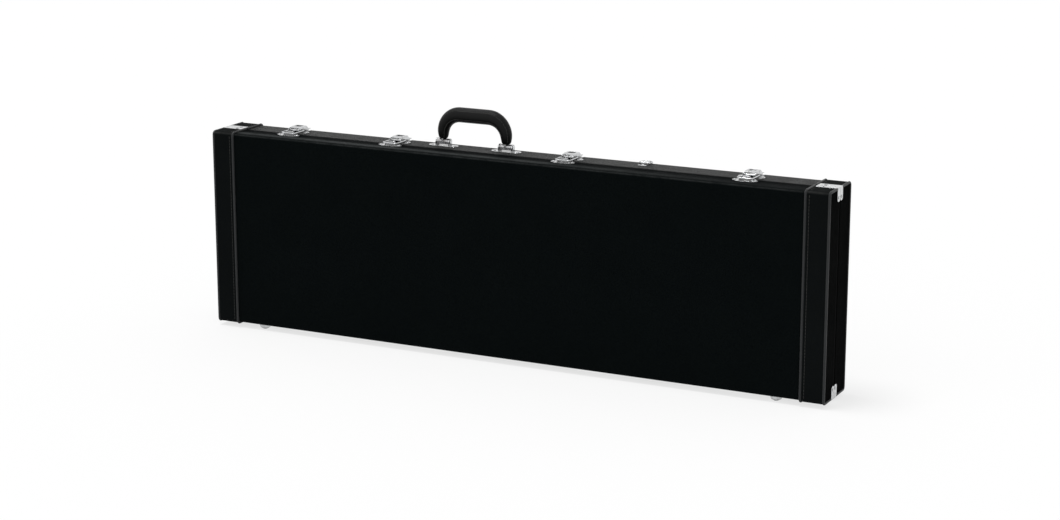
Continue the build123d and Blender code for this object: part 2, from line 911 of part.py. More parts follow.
# Accessory compartment beside the neck, with a pinned lid and a pull tab
accessory_low_x = block_end_x + bay_gap
accessory_high_x = accessory_low_x + accessory_length
accessory_high_z = mid_z - neck_channel / 2
accessory_pin_y = nest_top_y + accessory_lid_thickness / 2
accessory_pin_z = nest_low_z + accessory_wall + accessory_lid_thickness / 2 + pad_clearance


def accessory():
    wall = accessory_wall
    with BuildPart() as tray:
        box_between(
            (accessory_low_x, nest_top_y, nest_low_z), (accessory_high_x, floor_y, accessory_high_z)
        )
        box_between(
            (accessory_low_x + wall, nest_top_y, nest_low_z + wall),
            (accessory_high_x - wall, floor_y - accessory_floor, accessory_high_z - wall),
            Mode.SUBTRACT,
        )
        with BuildSketch(Plane.YZ.offset(accessory_low_x + wall / 2)):
            with Locations((accessory_pin_y, accessory_pin_z)):
                Circle(accessory_pin_radius + pin_fit)
        extrude(amount=accessory_length - wall, mode=Mode.SUBTRACT)
    save("accessory_box", tray.part)
    with BuildPart() as pin:
        with BuildSketch(Plane.YZ.offset(accessory_low_x + wall / 2)):
            with Locations((accessory_pin_y, accessory_pin_z)):
                Circle(accessory_pin_radius)
        extrude(amount=accessory_length - wall)
    save("accessory_pin", pin.part)
    low_x = accessory_low_x + wall + pad_clearance
    high_x = accessory_high_x - wall - pad_clearance
    free_z = accessory_high_z - wall - pad_clearance
    with BuildPart() as flap:
        with BuildSketch(Plane.YZ.offset(low_x)):
            with Locations((accessory_pin_y, accessory_pin_z)):
                Circle(accessory_lid_thickness / 2)
            with Locations((accessory_pin_y, (accessory_pin_z + free_z) / 2)):
                Rectangle(accessory_lid_thickness, free_z - accessory_pin_z)
            with Locations((accessory_pin_y, accessory_pin_z)):
                Circle(accessory_pin_radius + pin_fit, mode=Mode.SUBTRACT)
        extrude(amount=high_x - low_x)
    save("accessory_lid", flap.part)
    middle = (low_x + high_x) / 2
    with BuildPart() as tab:
        box_between(
            (middle - tab_half_width, nest_top_y - tab_thickness, free_z - tab_edge_gap - tab_length),
            (middle + tab_half_width, nest_top_y, free_z - tab_edge_gap),
        )
        fillet(tab.edges().filter_by(Axis.Y), tab_corner)
    save("accessory_tab", tab.part)


for half_name in halves:
    boards(half_name)
    covering(half_name)
    end_caps(half_name, piping(half_name))
    corner_guards(half_name)
    feet(half_name)
    lining(half_name)
tongue()
hinges()
latches()
handle()
tag_ring()
padding()
accessory()
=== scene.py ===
import json
import math

import bmesh
import bpy
from mathutils import Matrix, Vector


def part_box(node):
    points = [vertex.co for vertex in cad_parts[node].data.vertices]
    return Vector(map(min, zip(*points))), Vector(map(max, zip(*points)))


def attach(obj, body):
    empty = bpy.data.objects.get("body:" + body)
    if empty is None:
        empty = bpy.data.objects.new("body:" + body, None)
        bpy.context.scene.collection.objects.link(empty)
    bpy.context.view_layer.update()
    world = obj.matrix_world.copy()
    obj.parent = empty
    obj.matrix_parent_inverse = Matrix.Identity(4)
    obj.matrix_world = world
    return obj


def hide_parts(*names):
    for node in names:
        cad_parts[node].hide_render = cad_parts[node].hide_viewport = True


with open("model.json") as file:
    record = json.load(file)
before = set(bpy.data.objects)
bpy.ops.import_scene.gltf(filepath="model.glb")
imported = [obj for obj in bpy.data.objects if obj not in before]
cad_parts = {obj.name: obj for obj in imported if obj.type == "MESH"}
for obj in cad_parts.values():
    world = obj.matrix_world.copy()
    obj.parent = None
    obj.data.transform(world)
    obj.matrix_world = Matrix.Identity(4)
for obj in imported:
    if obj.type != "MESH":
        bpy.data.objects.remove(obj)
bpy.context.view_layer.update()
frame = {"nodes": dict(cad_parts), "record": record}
nodes = frame["nodes"]
print("frame loaded with", len(nodes), "nodes")


# Small helpers for selecting and shaping by hand
def clearSelection():
    if bpy.context.object and bpy.context.object.mode != "OBJECT":
        bpy.ops.object.mode_set(mode="OBJECT")
    bpy.ops.object.select_all(action="DESELECT")


def pick(piece):
    clearSelection()
    piece.select_set(True)
    bpy.context.view_layer.objects.active = piece


def startPiece(name):
    piece = bpy.context.object
    piece.name = name
    piece.data.name = name
    return piece


def settle(piece):
    pick(piece)
    bpy.ops.object.transform_apply(location=True, rotation=True, scale=True)


def openMesh(piece, kind="FACE", action="DESELECT"):
    pick(piece)
    bpy.ops.object.mode_set(mode="EDIT")
    bpy.ops.mesh.select_mode(type=kind)
    bpy.ops.mesh.select_all(action=action)


def closeMesh():
    bpy.ops.object.mode_set(mode="OBJECT")


def chooseFaces(piece, test):
    bpy.ops.mesh.select_all(action="DESELECT")
    mesh = bmesh.from_edit_mesh(piece.data)
    for face in mesh.faces:
        if test(face.calc_center_median(), face.normal):
            face.select_set(True)
    bmesh.update_edit_mesh(piece.data)


def choosePoints(piece, test):
    bpy.ops.mesh.select_all(action="DESELECT")
    mesh = bmesh.from_edit_mesh(piece.data)
    for point in mesh.verts:
        point.select_set(bool(test(point.co)))
    mesh.select_flush(True)
    bmesh.update_edit_mesh(piece.data)


def faceOutwards(piece):
    openMesh(piece, action="SELECT")
    bpy.ops.mesh.remove_doubles(threshold=0.00001)
    bpy.ops.mesh.normals_make_consistent(inside=False)
    closeMesh()


def useModifiers(piece):
    pick(piece)
    for step in list(piece.modifiers):
        bpy.ops.object.modifier_apply(modifier=step.name)


def subdivideSmoothly(piece):
    finer = piece.modifiers.new("finer", "SUBSURF")
    finer.levels = 1
    finer.render_levels = 1
    useModifiers(piece)


def shadeSmooth(piece, angle=50):
    pick(piece)
    bpy.ops.object.shade_smooth_by_angle(angle=math.radians(angle))


def copyTo(pattern, name, place):
    twin = bpy.data.objects.new(name, pattern.data.copy())
    bpy.context.scene.collection.objects.link(twin)
    twin.data.transform(place)
    return twin


def scatter(pattern, name, places):
    copies = [copyTo(pattern, name, place) for place in places]
    clearSelection()
    for twin in copies:
        twin.select_set(True)
    bpy.context.view_layer.objects.active = copies[0]
    bpy.ops.object.join()
    return startPiece(name)


def forget(piece):
    bpy.data.objects.remove(piece, do_unlink=True)


def standing(place, along, up):
    # a placing matrix whose X runs along and whose Z points up from the surface
    along = Vector(along).normalized()
    up = Vector(up).normalized()
    turn = Matrix((along, up.cross(along), up)).transposed().to_4x4()
    return Matrix.Translation(Vector(place)) @ turn


def finishPiece(piece, body, material):
    piece.data.materials.clear()
    piece.data.materials.append(material)
    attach(piece, body)


# Shader helpers: wire gives a socket a link from another node, or a plain value
def wire(tree, value, socket):
    if isinstance(value, bpy.types.NodeSocket):
        tree.links.new(value, socket)
    else:
        socket.default_value = value


def addNode(tree, kind, inputs=None, **settings):
    made = tree.nodes.new(kind)
    for key, value in settings.items():
        setattr(made, key, value)
    for label, value in (inputs or {}).items():
        wire(tree, value, made.inputs[label])
    return made


def blendColours(tree, mask, first, second):
    mix = addNode(tree, "ShaderNodeMix", data_type="RGBA")
    for socket, value in ((6, first), (7, second)):
        wire(tree, (*value, 1.0) if isinstance(value, tuple) else value, mix.inputs[socket])
    wire(tree, mask, mix.inputs[0])
    return mix.outputs[2]


def between(tree, value, fromLow, fromHigh, low, high):
    ramp = addNode(tree, "ShaderNodeMapRange", {
        "Value": value, "From Min": fromLow, "From Max": fromHigh, "To Min": low, "To Max": high})
    return ramp.outputs["Result"]


def mathStep(tree, operation, *values):
    step = addNode(tree, "ShaderNodeMath", operation=operation)
    for value, socket in zip(values, step.inputs):
        wire(tree, value, socket)
    return step.outputs[0]


def multiplied(tree, mask, *shares):
    for share in shares:
        mask = mathStep(tree, "MULTIPLY", mask, share)
    return mask


def noiseOn(tree, vector, **inputs):
    return addNode(tree, "ShaderNodeTexNoise", {"Vector": vector, **inputs})


def partsOf(tree, vector):
    return addNode(tree, "ShaderNodeSeparateXYZ", {0: vector}).outputs


def useGroup(tree, group, **values):
    return addNode(tree, "ShaderNodeGroup", values, node_tree=group).outputs


def startGroup(name, inputs, outputs):
    group = bpy.data.node_groups.new(name, "ShaderNodeTree")
    for label, number in inputs.items():
        socket = group.interface.new_socket(label, in_out="INPUT", socket_type="NodeSocketFloat")
        socket.default_value = number
    for label in outputs:
        kind = "NodeSocketVector" if label == "Normal" else "NodeSocketFloat"
        group.interface.new_socket(label, in_out="OUTPUT", socket_type=kind)
    entry = group.nodes.new("NodeGroupInput").outputs
    leave = group.nodes.new("NodeGroupOutput").inputs
    place = group.nodes.new("ShaderNodeTexCoord").outputs
    return group, entry, leave, place


def makePebbleGroup():
    # raised vinyl pebbles with creases between them, and a fine roughness on both
    group, entry, leave, place = startGroup(
        "pebbleGrain", {"Cells": 700.0, "Wander": 0.6}, ("Height", "Crease"))
    bend = noiseOn(group, place["Object"], Scale=260.0, Detail=2.0)
    shift = addNode(group, "ShaderNodeVectorMath", operation="SUBTRACT", inputs={
        0: bend.outputs["Color"], 1: (0.5, 0.5, 0.5)})
    push = addNode(group, "ShaderNodeVectorMath", operation="SCALE", inputs={
        0: shift.outputs[0], "Scale": multiplied(group, entry["Wander"], 0.004)})
    moved = addNode(group, "ShaderNodeVectorMath", {0: place["Object"], 1: push.outputs[0]}, operation="ADD")
    cells = addNode(group, "ShaderNodeTexVoronoi", feature="DISTANCE_TO_EDGE", inputs={
        "Vector": moved.outputs[0], "Scale": entry["Cells"]})
    rise = between(group, cells.outputs["Distance"], 0.0, 0.28, 0.0, 1.0)
    fine = noiseOn(group, place["Object"], Scale=2600.0, Detail=3.0)
    wire(group, mathStep(group, "MULTIPLY_ADD", fine.outputs["Fac"], 0.22, rise), leave["Height"])
    wire(group, between(group, cells.outputs["Distance"], 0.0, 0.12, 1.0, 0.0), leave["Crease"])
    return group


def makeWearAndHighlightGroup():
    # rubbed edges, both sharp and rounded, broken up by noise, and the softened normal that goes with them;
    # on rounded edges that face up the paler colour is also a painted highlight
    group, entry, leave, place = startGroup(
        "edgeWearAndHighlight", {"Patches": 45.0, "Amount": 0.5, "Rounded": 0.0}, ("RubbedAndHighlight", "Normal"))
    soft = addNode(group, "ShaderNodeBevel", {"Radius": 0.0009}, samples=4)
    flat = addNode(group, "ShaderNodeNewGeometry")
    facing = addNode(group, "ShaderNodeVectorMath", operation="DOT_PRODUCT", inputs={
        0: soft.outputs["Normal"], 1: flat.outputs["Normal"]})
    sharp = between(group, facing.outputs["Value"], 0.985, 0.86, 0.0, 1.0)
    outer = addNode(group, "ShaderNodeVectorMath", {0: place["Normal"]}, operation="ABSOLUTE")
    parts = partsOf(group, outer.outputs[0])
    most = mathStep(group, "MAXIMUM", mathStep(group, "MAXIMUM", parts["X"], parts["Y"]), parts["Z"])
    turned = between(group, most, 0.985, 0.80, 0.0, 1.0)
    upper = between(group, partsOf(group, place["Normal"])["Z"], 0.0, 0.5, 0.25, 1.0)  # rounded edges that face up get more: rubbed from above, and a painted highlight from the light above
    edge = mathStep(group, "MAXIMUM", sharp, multiplied(group, turned, upper, entry["Rounded"]))
    patches = noiseOn(group, place["Object"], Scale=entry["Patches"], Detail=4.0, Roughness=0.65)
    broken = between(group, patches.outputs["Fac"], 0.36, 0.58, 0.40, 1.0)
    wire(group, multiplied(group, edge, broken, entry["Amount"]), leave["RubbedAndHighlight"])
    wire(group, soft.outputs["Normal"], leave["Normal"])
    return group


def makeDustAndTopLightGroup():
    # fine dust on faces that look up, which also stands in as a painted top light that makes them paler, and
    # slow blotches everywhere
    group, entry, leave, place = startGroup("dustAndTopLight", {"Settled": 0.5}, ("DustAndTopLightMask", "Blotch"))
    upward = between(group, partsOf(group, place["Normal"])["Z"], 0.3, 1.0, 0.0, 1.0)
    cloud = noiseOn(group, place["Object"], Scale=9.0, Detail=8.0, Roughness=0.7).outputs["Fac"]
    specks = noiseOn(group, place["Object"], Scale=900.0, Detail=2.0)
    speckMask = between(group, specks.outputs["Fac"], 0.55, 0.72, 0.15, 1.0)
    wire(group, multiplied(group, upward, speckMask, cloud, entry["Settled"]), leave["DustAndTopLightMask"])
    wire(group, between(group, cloud, 0.3, 0.7, 0.0, 1.0), leave["Blotch"])
    return group


def makeCornerShadeGroup():
    # painted shade that gathers in corners and under edges, found by ambient occlusion
    group, entry, leave, place = startGroup("paintedCornerShade", {"Amount": 0.8}, ("CornerShade",))
    shade = addNode(group, "ShaderNodeAmbientOcclusion", {"Distance": 0.006}, samples=6)
    near = between(group, shade.outputs["AO"], 0.35, 0.85, 1.0, 0.0)
    patches = noiseOn(group, place["Object"], Scale=420.0, Detail=4.0)
    broken = between(group, patches.outputs["Fac"], 0.3, 0.6, 0.55, 1.0)
    wire(group, multiplied(group, near, broken, entry["Amount"]), leave["CornerShade"])
    return group


def makeLineGroup():
    # a line along the case, at a place from front to back, that fades out to both sides
    group, entry, leave, place = startGroup(
        "pressedLine", {"Middle": -0.0035, "Reach": 0.0040}, ("Mask",))
    away = mathStep(group, "SUBTRACT", partsOf(group, place["Object"])["Y"], entry["Middle"])
    share = mathStep(group, "DIVIDE", mathStep(group, "ABSOLUTE", away), entry["Reach"])
    wire(group, between(group, share, 0.1, 1.0, 1.0, 0.0), leave["Mask"])
    return group


def makeLipGroup():
    # a painted highlight: a paler band along the lid's top where its rounded front catches the light, weakest
    # towards the headstock end
    group, entry, leave, place = startGroup("paintedLipHighlight", {"Middle": -0.038, "Reach": 0.010}, ("Mask",))
    band = useGroup(group, pressedLine, Middle=entry["Middle"], Reach=entry["Reach"])
    upper = between(group, partsOf(group, place["Normal"])["Z"], 0.3, 0.8, 0.0, 1.0)
    fading = between(group, partsOf(group, place["Object"])["X"], -0.15, 0.45, 1.0, 0.15)
    patches = noiseOn(group, place["Object"], Scale=30.0, Detail=4.0, Roughness=0.65)
    broken = between(group, patches.outputs["Fac"], 0.36, 0.6, 0.55, 1.0)
    wire(group, multiplied(group, band["Mask"], upper, fading, broken), leave["Mask"])
    return group


def makeEndShadeGroup():
    # painted shade: the end panels inside the piping, faces that look along the length, are painted blacker
    # than the bands round the case
    group, entry, leave, place = startGroup("shadedEndMask", {"Amount": 0.9}, ("Mask",))
    sideways = mathStep(group, "ABSOLUTE", partsOf(group, place["Normal"])["X"])
    shadedSide = between(group, sideways, 0.9, 0.97, 0.0, 1.0)
    wire(group, multiplied(group, shadedSide, entry["Amount"]), leave["Mask"])
    return group


pebbleGrain = makePebbleGroup()
edgeWearAndHighlight = makeWearAndHighlightGroup()
dustAndTopLight = makeDustAndTopLightGroup()
paintedCornerShade = makeCornerShadeGroup()
pressedLine = makeLineGroup()
paintedLipHighlight = makeLipGroup()
shadedEndMask = makeEndShadeGroup()


def startMaterial(name, **constants):
    material = bpy.data.materials.new(name)
    material.use_nodes = True
    tree = material.node_tree
    shader = tree.nodes["Principled BSDF"].inputs
    for label, number in constants.items():
        shader[label.replace("_", " ")].default_value = number
    return material, tree, shader


def bumpOver(tree, height, strength, distance, under=None):
    bump = addNode(tree, "ShaderNodeBump", {"Height": height, "Strength": strength, "Distance": distance})
    if under:
        wire(tree, under, bump.inputs["Normal"])
    return bump.outputs["Normal"]


def objectPlace(tree, stretch=None):
    place = addNode(tree, "ShaderNodeTexCoord").outputs["Object"]
    if stretch:
        place = addNode(tree, "ShaderNodeMapping", {"Vector": place, "Scale": stretch}).outputs["Vector"]
    return place


# Vinyls: each line is (middle, reach, depth) of a dip with painted shade along it, and lip is the (middle,
# reach) of a painted highlight band
splitY = (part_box("lid_covering")[1].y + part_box("body_covering")[0].y) / 2
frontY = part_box("lid_covering")[0].y
# painted shade along the gap between lid and body, and a wider band of painted shade on the lid's top just in
# front of it
splitLine = (splitY, 0.0042, 0.0020)
rimShadeLine = (splitY - 0.0100, 0.0110, 0.0012)
capSplit = (splitY, 0.0036, 0.0016)
vinylShared = {"patches": 45.0, "sheenRough": 0.35, "blotchy": 0.35, "keptInCreases": 0.75}
vinylLooks = {
    "lidCovering": {
        "deep": (0.0018, 0.0025, 0.0027), "raised": (0.0044, 0.0060, 0.0062),
        "rubbedAndHighlight": (0.066, 0.071, 0.071), "wearAndHighlight": 0.95, "roundedWearAndHighlight": 0.35,
        "dustAndLight": (0.08, 0.08, 0.076), "settledAndLit": 0.15, "rough": (0.40, 0.58), "gloss": 0.0010, "sheen": 0.010,
        "cells": 560.0, "wander": 0.85, "grain": 0.75, "grainDepth": 0.00045,
        "lines": (splitLine, rimShadeLine), "lip": (frontY + 0.0165, 0.0125)},
    # the body's copy of the covering is the lit one: more dust and painted top light on its upward faces
    "bodyCovering": {
        "deep": (0.0012, 0.0015, 0.0015), "raised": (0.0028, 0.0035, 0.0035),
        "rubbedAndHighlight": (0.060, 0.063, 0.062), "wearAndHighlight": 0.8, "roundedWearAndHighlight": 1.0,
        "dustAndLight": (0.11, 0.115, 0.11), "settledAndLit": 0.60, "rough": (0.36, 0.58), "gloss": 0.038, "sheen": 0.12,
        "cells": 560.0, "wander": 0.85, "grain": 0.75, "grainDepth": 0.00045, "lines": (splitLine,)},
    "smoothLeatherette": {
        "deep": (0.0022, 0.0027, 0.0028), "raised": (0.0068, 0.0080, 0.0083),
        "rubbedAndHighlight": (0.040, 0.041, 0.040), "wearAndHighlight": 0.7, "roundedWearAndHighlight": 0.7,
        "dustAndLight": (0.10, 0.10, 0.095), "settledAndLit": 0.25, "rough": (0.36, 0.50), "gloss": 0.0007, "sheen": 0.004,
        "cells": 1500.0, "wander": 0.45, "grain": 0.3, "grainDepth": 0.00018,
        "lines": (capSplit,), "endShade": 0.9, "endTone": (0.0006, 0.0007, 0.0007)},
    "vinylPiping": {
        "deep": (0.015, 0.016, 0.017), "raised": (0.025, 0.027, 0.028),
        "rubbedAndHighlight": (0.11, 0.11, 0.108), "wearAndHighlight": 0.7, "roundedWearAndHighlight": 0.0,
        "dustAndLight": (0.16, 0.16, 0.15), "settledAndLit": 0.25, "rough": (0.34, 0.48), "gloss": 0.13, "sheen": 0.03,
        "cells": 1900.0, "wander": 0.3, "grain": 0.18, "grainDepth": 0.0001},
    "gripLeather": {
        "deep": (0.0016, 0.0017, 0.0017), "raised": (0.0040, 0.0042, 0.0042),
        "rubbedAndHighlight": (0.020, 0.019, 0.018), "wearAndHighlight": 0.35, "roundedWearAndHighlight": 0.0,
        "dustAndLight": (0.09, 0.09, 0.085), "settledAndLit": 0.10, "rough": (0.28, 0.42), "gloss": 0.12, "sheen": 0.02,
        "cells": 900.0, "wander": 0.9, "grain": 0.5, "grainDepth": 0.00020},
}


def makeVinyl(name, look):
    material, tree, shader = startMaterial(
        name, Specular_IOR_Level=look["gloss"], Sheen_Weight=look["sheen"],
        Sheen_Roughness=vinylShared["sheenRough"])
    grain = useGroup(tree, pebbleGrain, Cells=look["cells"], Wander=look["wander"])
    wearAndHighlight = useGroup(
        tree, edgeWearAndHighlight, Patches=vinylShared["patches"], Amount=look["wearAndHighlight"], Rounded=look["roundedWearAndHighlight"])
    dustAndLight = useGroup(tree, dustAndTopLight, Settled=look["settledAndLit"])
    # painted shade: the creases between the pebbles take the darker deep tone
    colour = blendColours(tree, grain["Crease"], look["raised"], look["deep"])
    patchy = between(tree, dustAndLight["Blotch"], 0.0, 1.0, 0.0, vinylShared["blotchy"])
    colour = blendColours(tree, patchy, colour, look["deep"])
    # edges are paler where rubbed, and rounded edges facing up also take a painted highlight
    colour = blendColours(tree, wearAndHighlight["RubbedAndHighlight"], colour, look["rubbedAndHighlight"])
    # dust settles on faces that look up, and the same colour paints them lighter as if lit from above
    colour = blendColours(tree, dustAndLight["DustAndTopLightMask"], colour, look["dustAndLight"])
    # painted highlight along the lid's top; the pebble creases stay out of it and keep their painted shade
    if "lip" in look:
        middle, reach = look["lip"]
        lip = useGroup(tree, paintedLipHighlight, Middle=middle, Reach=reach)
        colour = blendColours(tree, lip["Mask"], colour, look["rubbedAndHighlight"])
        shadedCreases = between(tree, grain["Crease"], 0.0, 1.0, 0.0, vinylShared["keptInCreases"])
        colour = blendColours(tree, shadedCreases, colour, look["deep"])
    under = wearAndHighlight["Normal"]
    # each line paints shade into the colour and bumps a shallow dip
    for middle, reach, depth in look.get("lines", ()):
        line = useGroup(tree, pressedLine, Middle=middle, Reach=reach)
        colour = blendColours(tree, line["Mask"], colour, look["deep"])
        under = bumpOver(tree, between(tree, line["Mask"], 0.0, 1.0, 1.0, 0.0), 1.0, depth, under)
    # painted shade: the end panels are made blacker than the bands round the case
    if "endShade" in look:
        facing = useGroup(tree, shadedEndMask, Amount=look["endShade"])
        colour = blendColours(tree, facing["Mask"], colour, look["endTone"])
    wire(tree, colour, shader["Base Color"])
    wire(tree, between(tree, dustAndLight["Blotch"], 0.0, 1.0, *look["rough"]), shader["Roughness"])
    wire(tree, bumpOver(tree, grain["Height"], look["grain"], look["grainDepth"], under), shader["Normal"])
    return material


metalShared = {
    "dustAndLight": (0.35, 0.34, 0.32), "settledAndLit": 0.15, "cornerShadeTone": (0.035, 0.034, 0.032),
    "patches": 160.0, "wearAndHighlight": 0.9, "brushAlong": (0.12, 1.0, 1.0), "brushDepth": 0.00004,
}
metalLooks = {
    "brightPlating": {"clean": (0.60, 0.61, 0.62), "dull": (0.36, 0.36, 0.355), "rough": (0.08, 0.24),
                      "brush": 0.10, "cornerShading": 0.95},
    "plainStrap": {"clean": (0.40, 0.40, 0.41), "dull": (0.24, 0.23, 0.22), "rough": (0.32, 0.50),
                   "brush": 0.3, "cornerShading": 0.6},
}


def makeMetal(name, look):
    material, tree, shader = startMaterial(name, Metallic=1.0)
    wearAndHighlight = useGroup(tree, edgeWearAndHighlight, Patches=metalShared["patches"], Amount=metalShared["wearAndHighlight"])
    dustAndLight = useGroup(tree, dustAndTopLight, Settled=metalShared["settledAndLit"])
    cornerShading = useGroup(tree, paintedCornerShade, Amount=look["cornerShading"])
    streaks = noiseOn(tree, objectPlace(tree, metalShared["brushAlong"]), Scale=1400.0, Detail=3.0)
    spots = noiseOn(tree, objectPlace(tree), Scale=140.0, Detail=5.0, Roughness=0.7).outputs["Fac"]
    colour = blendColours(tree, between(tree, spots, 0.45, 0.66, 0.0, 0.8), look["clean"], look["dull"])
    colour = blendColours(tree, dustAndLight["DustAndTopLightMask"], colour, metalShared["dustAndLight"])
    # painted shade in corners and under edges darkens the metal
    colour = blendColours(tree, cornerShading["CornerShade"], colour, metalShared["cornerShadeTone"])
    wire(tree, colour, shader["Base Color"])
    wire(tree, between(tree, spots, 0.35, 0.75, *look["rough"]), shader["Roughness"])
    brushed = bumpOver(tree, streaks.outputs["Fac"], look["brush"], metalShared["brushDepth"], wearAndHighlight["Normal"])
    wire(tree, brushed, shader["Normal"])
    return material


plushLook = {
    "pile": (0.020, 0.020, 0.023), "shade": (0.008, 0.008, 0.010), "lint": (0.10, 0.10, 0.10),
    "gloss": 0.1, "sheen": 0.35, "sheenRough": 0.45, "sheenTint": (0.55, 0.55, 0.60, 1.0), "rough": 0.95,
    "relief": 0.8, "reliefDepth": 0.0008,
}


def makePlush(name, look):
    material, tree, shader = startMaterial(
        name, Specular_IOR_Level=look["gloss"], Roughness=look["rough"], Sheen_Weight=look["sheen"],
        Sheen_Roughness=look["sheenRough"], Sheen_Tint=look["sheenTint"])
    place = objectPlace(tree)
    pile = noiseOn(tree, place, Scale=1500.0, Detail=4.0, Roughness=0.75).outputs["Fac"]
    strokes = noiseOn(tree, place, Scale=16.0, Detail=5.0, Distortion=1.2).outputs["Fac"]
    specks = addNode(tree, "ShaderNodeTexVoronoi", {"Vector": place, "Scale": 75.0})
    colour = blendColours(tree, between(tree, strokes, 0.38, 0.62, 0.0, 1.0), look["shade"], look["pile"])
    colour = blendColours(tree, between(tree, pile, 0.35, 0.6, 0.6, 0.0), colour, look["shade"])
    lint = between(tree, specks.outputs["Distance"], 0.035, 0.05, 0.6, 0.0)
    wire(tree, blendColours(tree, lint, colour, look["lint"]), shader["Base Color"])
    wire(tree, bumpOver(tree, pile, look["relief"], look["reliefDepth"]), shader["Normal"])
    return material


plyLook = {
    "stain": (0.016, 0.013, 0.011), "grain": (0.030, 0.023, 0.018), "glue": (0.006, 0.005, 0.005),
    "gloss": 0.25, "grainAlong": (0.04, 1.0, 1.0), "relief": 0.3, "reliefDepth": 0.0002,
}


def makePly(name, look):
    material, tree, shader = startMaterial(name, Specular_IOR_Level=look["gloss"])
    fibres = noiseOn(tree, objectPlace(tree, look["grainAlong"]), Scale=420.0, Detail=6.0, Roughness=0.7)
    fibres = fibres.outputs["Fac"]
    layers = addNode(tree, "ShaderNodeTexWave", wave_type="BANDS", bands_direction="Z", inputs={
        "Vector": objectPlace(tree), "Scale": 110.0, "Distortion": 0.6, "Detail": 1.0})
    colour = blendColours(tree, between(tree, fibres, 0.35, 0.65, 0.0, 1.0), look["stain"], look["grain"])
    glued = between(tree, layers.outputs["Fac"], 0.8, 0.95, 0.0, 0.5)
    wire(tree, blendColours(tree, glued, colour, look["glue"]), shader["Base Color"])
    wire(tree, between(tree, fibres, 0.3, 0.7, 0.5, 0.75), shader["Roughness"])
    wire(tree, bumpOver(tree, fibres, look["relief"], look["reliefDepth"]), shader["Normal"])
    return material


threadLook = {"strand": (0.060, 0.060, 0.058), "between": 0.45, "rough": 0.7, "gloss": 0.2,
              "relief": 0.5, "reliefDepth": 0.0001}


def makeThread(name, look):
    material, tree, shader = startMaterial(name, Roughness=look["rough"], Specular_IOR_Level=look["gloss"])
    twist = addNode(tree, "ShaderNodeTexWave", wave_type="BANDS", bands_direction="DIAGONAL", inputs={
        "Vector": objectPlace(tree), "Scale": 900.0, "Distortion": 0.4}).outputs["Fac"]
    # painted shade: the bands between the twisted strands are darker
    dark = tuple(look["between"] * part for part in look["strand"])
    wire(tree, blendColours(tree, twist, dark, look["strand"]), shader["Base Color"])
    wire(tree, bumpOver(tree, twist, look["relief"], look["reliefDepth"]), shader["Normal"])
    return material


materials = {name: makeVinyl(name, look) for name, look in vinylLooks.items()}
materials.update({name: makeMetal(name, look) for name, look in metalLooks.items()})
materials["blackPlush"] = makePlush("blackPlush", plushLook)
materials["stainedPly"] = makePly("stainedPly", plyLook)
materials["darkThread"] = makeThread("darkThread", threadLook)
print("materials made:", len(materials))

# Every CAD node gets the finish of its slot, and the lid's covering its own variant, a differently lit copy
# of the same covering
slotFinish = {
    "plywood": "stainedPly", "textured_covering": "bodyCovering", "leatherette": "smoothLeatherette",
    "piping": "vinylPiping", "plated_steel": "brightPlating", "steel_core": "plainStrap",
    "grip_leather": "gripLeather", "plush": "blackPlush",
}
for entry in frame["record"]["subparts"]:
    node = nodes[entry["node"]]
    node.data.materials.clear()
    node.data.materials.append(materials[slotFinish[entry["material_slot"]]])
nodes["lid_covering"].data.materials[0] = materials["lidCovering"]
for name in ("body_piping", "lid_piping", "handle_core", "tag_ring", "body_feet", "lid_feet"):
    shadeSmooth(nodes[name])
print("finishes given to the frame's nodes")

# Rivets: a domed head with a thin flange, modelled once
rivetLook = {
    "radius": 0.0028, "flange": 0.0005, "dome": 0.0009, "sides": 20,
    "rim": 0.12, "steps": ((0.16, 0.5), (0.26, 0.34), (0.28, 0.16)),  # shares of radius and of dome
}


def modelRivet(name, look):
    clearSelection()
    bpy.ops.mesh.primitive_cylinder_add(
        vertices=look["sides"], radius=look["radius"], depth=look["flange"],
        location=(0, 0, look["flange"] / 2))
    head = startPiece(name)
    settle(head)
    openMesh(head)
    chooseFaces(head, lambda centre, normal: normal.z > 0.9)
    bpy.ops.mesh.inset(thickness=look["radius"] * look["rim"])
    for inward, lift in look["steps"]:
        bpy.ops.mesh.inset(thickness=look["radius"] * inward)
        bpy.ops.transform.translate(value=(0, 0, look["dome"] * lift))
    closeMesh()
    shadeSmooth(head)
    return head


# Where rivets sit: over is above the covering, fromSplit is measured from the split towards the back
rivetPlan = {
    "keeper": {"apart": 0.019, "fromSplit": -0.012, "over": 0.001},
    "latch": {"apart": 0.020, "fromSplit": 0.020, "over": 0.0012},
    "bracket": {"apart": 0.024, "inset": 0.030, "over": 0.0015},
    "clip": {"inset": 0.0062, "over": 0.001},
    "guard": {"along": 0.597, "fromSplit": 0.0068, "fromEdge": 0.0178},
    "hinge": {"middles": (-0.440, -0.160, 0.160, 0.440), "apart": (-0.022, 0.0, 0.022),
              "outerRow": 0.0135, "innerRow": 0.0095, "leaf": 0.0012},
}
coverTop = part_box("latch_bases")[0].z
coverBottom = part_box("body_covering")[0].z
lengthways, crossways, upward, downward = (1, 0, 0), (0, 1, 0), (0, 0, 1), (0, 0, -1)
rivetPlaces = {"body": [], "lid": []}


def addRivet(body, place, up=upward, along=lengthways):
    rivetPlaces[body].append(standing(place, along, up))


def middleOf(name):
    low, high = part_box(name)
    return (low.x + high.x) / 2, (low.y + high.y) / 2


for k in range(1, 5):
    x = middleOf(f"latch_lever_{k}")[0]
    for side in (-1, 1):
        for body, kind in (("lid", "keeper"), ("body", "latch")):
            plan = rivetPlan[kind]
            addRivet(body, (x + side * plan["apart"], splitY + plan["fromSplit"], coverTop + plan["over"]))

